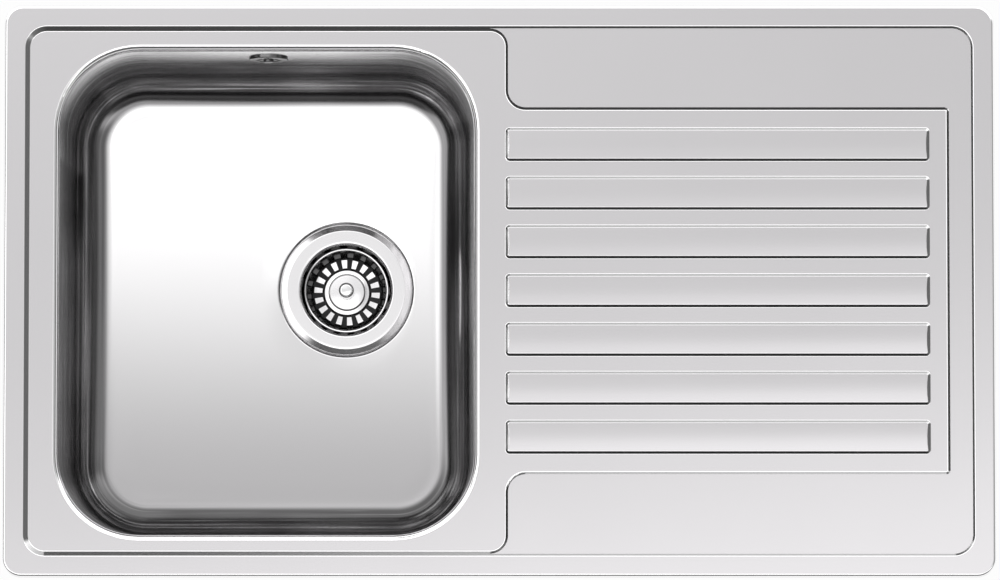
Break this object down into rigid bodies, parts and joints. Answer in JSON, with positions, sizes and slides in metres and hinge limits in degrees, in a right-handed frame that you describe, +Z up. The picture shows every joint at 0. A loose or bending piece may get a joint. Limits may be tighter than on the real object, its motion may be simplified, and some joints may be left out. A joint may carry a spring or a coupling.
{
  "type": "kitchen sink with drainboard",
  "caption": "Inset stainless steel kitchen sink with a bowl, a ribbed drainboard, a basket strainer with waste, an overflow and worktop clips.",
  "frame": {"origin": "centre of the worktop's cut-out, on the worktop's top face that the rim rests on", "axes": "+X runs from the bowl to the drainboard, +Y to the rear, +Z up; metres"},
  "size_m": [0.86, 0.497, 0.2886],
  "materials": {
    "sheet_steel": "fine satin",
    "bowl_steel": "satin",
    "polished_steel": "polished",
    "basket_steel": "bright",
    "knob_chrome": "mirror",
    "zinc_plated_steel": "zinc plated",
    "insert_brass": "machined",
    "dark_rubber": "matt",
    "seal_foam": "matt",
    "white_plastic": "matt",
    "hose_plastic": "matt",
    "damping_pad": "matt, slightly rough"
  },
  "bodies": {
    "sink": {"drainer_top": "sheet_steel", "bowl": "bowl_steel", "rim_seal": "seal_foam", "rail_front_left": "zinc_plated_steel", "rail_front_right": "zinc_plated_steel", "rail_rear_left": "zinc_plated_steel", "rail_rear_right": "zinc_plated_steel", "rail_left": "zinc_plated_steel", "rail_right": "zinc_plated_steel", "clip_brackets": "zinc_plated_steel", "strainer_cup": "polished_steel", "flange_gasket": "dark_rubber", "waste_gasket": "dark_rubber", "waste_body": "white_plastic", "outlet_tail": "white_plastic", "screw_insert": "insert_brass", "centre_screw": "polished_steel", "overflow_rose": "knob_chrome", "overflow_screw": "knob_chrome", "overflow_gasket": "dark_rubber", "overflow_body": "white_plastic", "overflow_hose": "hose_plastic", "hose_clamp_top": "zinc_plated_steel", "hose_clamp_bottom": "zinc_plated_steel", "bowl_pad": "damping_pad", "drainer_pad": "damping_pad"},
    "plug": {"basket_stem": "polished_steel", "basket_knob": "knob_chrome", "basket_seal": "dark_rubber", "seal_retainer": "polished_steel"},
    "basket": {"basket_cup": "basket_steel"},
    "clip_screw_1": {"clip_screw_1": "zinc_plated_steel"},
    "claw_1": {"claw_1": "zinc_plated_steel"},
    "clip_screw_2": {"clip_screw_2": "zinc_plated_steel"},
    "claw_2": {"claw_2": "zinc_plated_steel"},
    "clip_screw_3": {"clip_screw_3": "zinc_plated_steel"},
    "claw_3": {"claw_3": "zinc_plated_steel"},
    "clip_screw_4": {"clip_screw_4": "zinc_plated_steel"},
    "claw_4": {"claw_4": "zinc_plated_steel"},
    "clip_screw_5": {"clip_screw_5": "zinc_plated_steel"},
    "claw_5": {"claw_5": "zinc_plated_steel"},
    "clip_screw_6": {"clip_screw_6": "zinc_plated_steel"},
    "claw_6": {"claw_6": "zinc_plated_steel"},
    "clip_screw_7": {"clip_screw_7": "zinc_plated_steel"},
    "claw_7": {"claw_7": "zinc_plated_steel"},
    "clip_screw_8": {"clip_screw_8": "zinc_plated_steel"},
    "claw_8": {"claw_8": "zinc_plated_steel"}
  },
  "joints": [
    {"name": "basket_lift", "type": "slide", "parent": "sink", "child": "plug", "axis": [0, 0, 1], "range_m": [0, 0.25]},
    {"name": "basket_turn", "type": "hinge", "parent": "plug", "child": "basket", "pos_m": [-0.1366, 0.014, -0.2125], "axis": [0, 0, 1], "continuous": true},
    {"name": "clip_tighten_1", "type": "slide", "parent": "sink", "child": "clip_screw_1", "axis": [0, 0, 1], "range_m": [-0.004, 0.012]},
    {"name": "claw_swing_1", "type": "hinge", "parent": "clip_screw_1", "child": "claw_1", "pos_m": [-0.34, -0.2315, -0.053], "axis": [0, 0, 1], "range_deg": [0, 90]},
    {"name": "clip_tighten_2", "type": "slide", "parent": "sink", "child": "clip_screw_2", "axis": [0, 0, 1], "range_m": [-0.004, 0.012]},
    {"name": "claw_swing_2", "type": "hinge", "parent": "clip_screw_2", "child": "claw_2", "pos_m": [-0.09, -0.2315, -0.053], "axis": [0, 0, 1], "range_deg": [0, 90]},
    {"name": "clip_tighten_3", "type": "slide", "parent": "sink", "child": "clip_screw_3", "axis": [0, 0, 1], "range_m": [-0.004, 0.012]},
    {"name": "claw_swing_3", "type": "hinge", "parent": "clip_screw_3", "child": "claw_3", "pos_m": [0.215, -0.2315, -0.053], "axis": [0, 0, 1], "range_deg": [0, 90]},
    {"name": "clip_tighten_4", "type": "slide", "parent": "sink", "child": "clip_screw_4", "axis": [0, 0, 1], "range_m": [-0.004, 0.012]},
    {"name": "claw_swing_4", "type": "hinge", "parent": "clip_screw_4", "child": "claw_4", "pos_m": [-0.34, 0.2315, -0.053], "axis": [0, 0, 1], "range_deg": [0, 90]},
    {"name": "clip_tighten_5", "type": "slide", "parent": "sink", "child": "clip_screw_5", "axis": [0, 0, 1], "range_m": [-0.004, 0.012]},
    {"name": "claw_swing_5", "type": "hinge", "parent": "clip_screw_5", "child": "claw_5", "pos_m": [-0.09, 0.2315, -0.053], "axis": [0, 0, 1], "range_deg": [0, 90]},
    {"name": "clip_tighten_6", "type": "slide", "parent": "sink", "child": "clip_screw_6", "axis": [0, 0, 1], "range_m": [-0.004, 0.012]},
    {"name": "claw_swing_6", "type": "hinge", "parent": "clip_screw_6", "child": "claw_6", "pos_m": [0.215, 0.2315, -0.053], "axis": [0, 0, 1], "range_deg": [0, 90]},
    {"name": "clip_tighten_7", "type": "slide", "parent": "sink", "child": "clip_screw_7", "axis": [0, 0, 1], "range_m": [-0.004, 0.012]},
    {"name": "claw_swing_7", "type": "hinge", "parent": "clip_screw_7", "child": "claw_7", "pos_m": [-0.4115, 0, -0.053], "axis": [0, 0, 1], "range_deg": [0, 90]},
    {"name": "clip_tighten_8", "type": "slide", "parent": "sink", "child": "clip_screw_8", "axis": [0, 0, 1], "range_m": [-0.004, 0.012]},
    {"name": "claw_swing_8", "type": "hinge", "parent": "clip_screw_8", "child": "claw_8", "pos_m": [0.4115, 0, -0.053], "axis": [0, 0, 1], "range_deg": [0, 90]}
  ]
}
